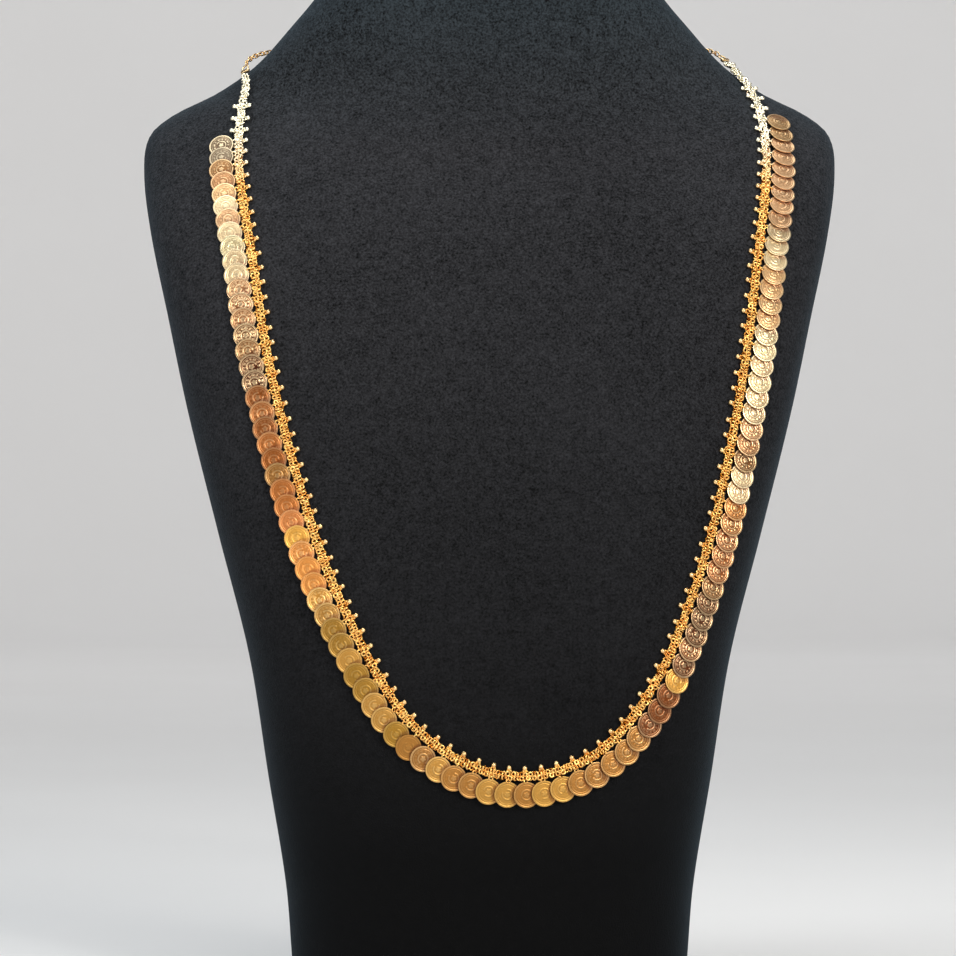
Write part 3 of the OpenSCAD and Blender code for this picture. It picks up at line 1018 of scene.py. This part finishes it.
def pillow(length, width, thickness, power=0.32, around=32, rows=14):
    """Box with soft edges: cosines and sines of two angles, each to a small power, times the half sizes."""
    up = np.linspace(-np.pi / 2, np.pi / 2, rows)[1:-1, None]
    angle = (np.arange(around) + 0.5)[None, :] * 2 * np.pi / around
    level, rise = signed_power(np.cos(up), power), signed_power(np.sin(up), power)
    x = length / 2 * level * signed_power(np.cos(angle), power)
    y = width / 2 * level * signed_power(np.sin(angle), power)
    z = thickness / 2 * rise + 0 * angle
    ends = [[0, 0, -thickness / 2], [0, 0, thickness / 2]]
    points = np.concatenate([np.stack([x, y, z], -1).reshape(-1, 3), ends])
    return form(points, *capped_faces(rows - 2, around, upwards=True))


def end_cap(s, way):
    """A plate just beyond the band's end and a ring beyond it; way is -1 at the left end and 1 at the
    right."""
    plate = moved(pillow(CAP_L, CAP_W, CAP_T), by=(PIECE_GAP + CAP_L / 2, 0, 0))
    ring = closed_wire(ring_path(LOOP_R, 28), LOOP_WIRE, 8)
    ring = moved(ring, by=(PIECE_GAP + CAP_L + LOOP_OUT, 0, 0))
    turned = moved(joined(plate, ring), turn_about("z", 0 if way > 0 else 180))
    return carried(turned, np.array([s]), CAP_LIFT)


for side, made in (("left", end_cap(BAND_START, -1)), ("right", end_cap(BAND_END, 1))):
    wire_piece(f"end_plate_{side}", made, f"end_cap_{side}", -0.5, 0.5, -PLATE_YELLOW)

# %% [markdown]
# ## The chain behind the neck
# Each end of the band runs on into a plain cable chain. A tube with bumps would do from far
# off, but beside the neck the light shows through a chain, so its links are ovals of wire.
# One lies nearly flat on the bust, and the next stands on edge.

# %% Cable chain
CHAIN_D, CLASP_L, CLASP_D = 2.0, 10.0, 3.0
LINK_L, LINK_W, LINK_WIRE, LINK_PLAY = 3.7, 2.3, 0.31, 0.1
LINK_STEP = LINK_L - 4 * LINK_WIRE - LINK_PLAY
FLAT_SLANT, EDGE_SLANT, SLANT_JITTER = 18.0, 78.0, 6.0


def link_chain(start, end):
    """Oval links from start to end, by turns nearly flat and nearly on edge."""
    oval = oval_path(LINK_L - 2 * LINK_WIRE, LINK_W - 2 * LINK_WIRE, 14)
    link = closed_wire(oval, LINK_WIRE, 6)
    count = int((end - start - LINK_L) / LINK_STEP) + 1
    s = np.linspace(start + LINK_L / 2, end - LINK_L / 2, count)
    slant = np.where(np.arange(count) % 2, FLAT_SLANT, EDGE_SLANT) + RNG.normal(0, SLANT_JITTER, count)
    return carried(link, s, SEAT_GAP + CHAIN_D / 2, turn_about("x", slant))


LEFT_CHAIN = link_chain(CLASP_L / 2 + PIECE_GAP, BAND_START - CAP_REACH - 2 * PIECE_GAP)
RIGHT_CHAIN = link_chain(BAND_END + CAP_REACH + 2 * PIECE_GAP, LOOP - CLASP_L / 2 - PIECE_GAP)
for side, made in (("left", LEFT_CHAIN), ("right", RIGHT_CHAIN)):
    wire_piece(f"cable_chain_{side}", made, f"back_chain_{side}", 0.3, 1.3, -PLAIN_YELLOW)

# %% [markdown]
# ## The clasp
# The clasp is a barrel that screws together at the nape. Like most round metalwork it is
# a profile turned on the lathe: narrow ends, a full body and a groove where its halves meet.

# %% Barrel clasp
CLASP_END = 2.0


def clasp_form():
    """Half a profile, mirrored about the groove, turned on the lathe and laid along the loop."""
    body, end = CLASP_D / 2, CHAIN_D / 2
    tip = CLASP_L / 2
    flat = tip - CLASP_END
    half = [
        (0, tip), (end * 0.8, tip), (end, tip - 0.2), (end, tip - 0.5), (end + 0.15, tip - 0.9),
        (body - 0.12, flat + 0.25), (body, flat), (body, flat - 0.35), (body - 0.18, flat - 0.5),
        (body - 0.18, flat - 0.7), (body, flat - 0.85), (body, 0.3), (body - 0.2, 0.1),
    ]
    profile = half + [(r, -z) for r, z in half[::-1]]
    return carried(moved(lathe(profile, 28), turn_about("y", 90)), np.array([0.0]), SEAT_GAP + CLASP_D / 2)


wire_piece("barrel_clasp", clasp_form(), "clasp", 0.2, 1.0, -PLAIN_YELLOW)

# %% [markdown]
# ## Floor, light and camera
# The stand is shown on a plain pale floor that curves up far away into a pale wall, so no
# horizon shows behind it. Soft lights in front and at both sides leave long reflections on
# the gold, a small hard one makes it sparkle, those above lift the shoulders out of the
# black, and one behind brightens the wall. The camera stands level, two metres off, with a
# long lens, so the necklace looks as flat as it does in a shop window.

# %% Floor
# in metres
FLOOR_R, WALL_R, WALL_H = 4.5, 7.0, 5.0
FLOOR_SIDES = 96


def pale_floor():
    """A plain matt surface, a touch cloudy so that it isn't one flat colour."""
    paint = Finish("pale_floor", Specular_IOR_Level=0.2)
    cloud = paint.noise(1.5)
    paint.set(
        Base_Color=paint.mix(cloud, (0.80, 0.79, 0.78, 1), (0.86, 0.855, 0.85, 1)),
        Roughness=cloud * 0.1 + 0.8,
    )
    return paint.material


def bowl():
    """A wide disc whose edge curves up into a wall: a quarter of an ellipse turned round the z axis."""
    rise = np.linspace(0, np.pi / 2, 16)
    wall = np.stack([FLOOR_R + (WALL_R - FLOOR_R) * np.sin(rise), WALL_H * (1 - np.cos(rise))], -1)
    profile = np.concatenate([[[1.0, 0.0]], wall]) / MM
    points = turned_round(profile, FLOOR_SIDES)
    now = np.arange(FLOOR_SIDES)
    fan = np.stack([now, (now + 1) % FLOOR_SIDES, np.full(FLOOR_SIDES, len(points))], -1)
    quads = grid_quads(len(profile), FLOOR_SIDES)[:, ::-1]
    return form(np.concatenate([points, [[0, 0, 0]]]), quads, fan)


piece("floor", bowl(), pale_floor(), [], None)

# %% Lights and camera
AIM = (0.0, 0.0, 0.22)


def soft_light(name, spot, width, height, power, tint=(1, 1, 1), target=AIM):
    """A rectangular soft light that faces its target and that the camera doesn't see."""
    lamp = bpy.data.lights.new(name, "AREA")
    lamp.shape = "RECTANGLE"
    lamp.size, lamp.size_y = width, height
    lamp.energy, lamp.color = power, tint
    holder = bpy.data.objects.new(name, lamp)
    bpy.context.scene.collection.objects.link(holder)
    holder.visible_camera = False
    holder.location = spot
    away = np.asarray(spot, float) - target
    tilt = math.acos(away[2] / np.linalg.norm(away))
    holder.rotation_euler = (tilt, 0, math.atan2(away[1], away[0]) + math.pi / 2)
    return holder


# place in metres, width and height in metres, power in watts, colour
soft_light("left_light", (-1.8, -1.6, 0.8), 0.8, 1.4, 15, (1.0, 0.97, 0.92))
soft_light("front_light", (0.3, -3.3, 0.7), 1.6, 1.6, 16, (1.0, 0.95, 0.88))
soft_light("right_light", (1.6, -2.2, 1.6), 1.2, 1.2, 46, (1.0, 0.95, 0.89))
soft_light("spark_light", (0.8, -2.3, 1.5), 0.2, 0.2, 13, (1.0, 0.98, 0.94))
soft_light("top_light", (-0.3, -0.9, 2.3), 1.2, 0.9, 5, (1.0, 0.96, 0.92))
soft_light("shoulder_light", (-0.5, -0.1, 1.8), 1.2, 1.0, 9, (0.85, 0.94, 1.0))
soft_light("back_light", (0.0, 0.6, 2.4), 1.6, 1.0, 18, (0.95, 0.98, 1.0))
soft_light("backdrop_light", (0.0, 2.6, 3.4), 3.0, 1.5, 75, target=(0.0, 6.5, 1.4))

WORLD = bpy.data.worlds.new("studio")
bpy.context.scene.world = WORLD
WORLD.use_nodes = True
DIM_SKY = WORLD.node_tree.nodes["Background"]
DIM_SKY.inputs["Color"].default_value = (0.9, 0.93, 1.0, 1)
DIM_SKY.inputs["Strength"].default_value = 0.17

# in metres: the camera's place, its distance from the necklace and the width that it sees there
CAMERA_PLACE = (-0.0048, -2.076, 0.2128)
CAMERA_REACH = 2.0
VIEW_SIDE = 0.3824
SENSOR = 36.0
camera = bpy.data.cameras.new("camera")
camera.sensor_width = SENSOR
camera.lens = SENSOR * CAMERA_REACH / VIEW_SIDE
camera_object = bpy.data.objects.new("camera", camera)
camera_object.location = CAMERA_PLACE
camera_object.rotation_euler = (math.pi / 2, 0, 0)
bpy.context.scene.collection.objects.link(camera_object)
bpy.context.scene.camera = camera_object
bpy.context.scene.view_settings.view_transform = "Standard"
print(f"Lens {camera.lens:.1f} mm")
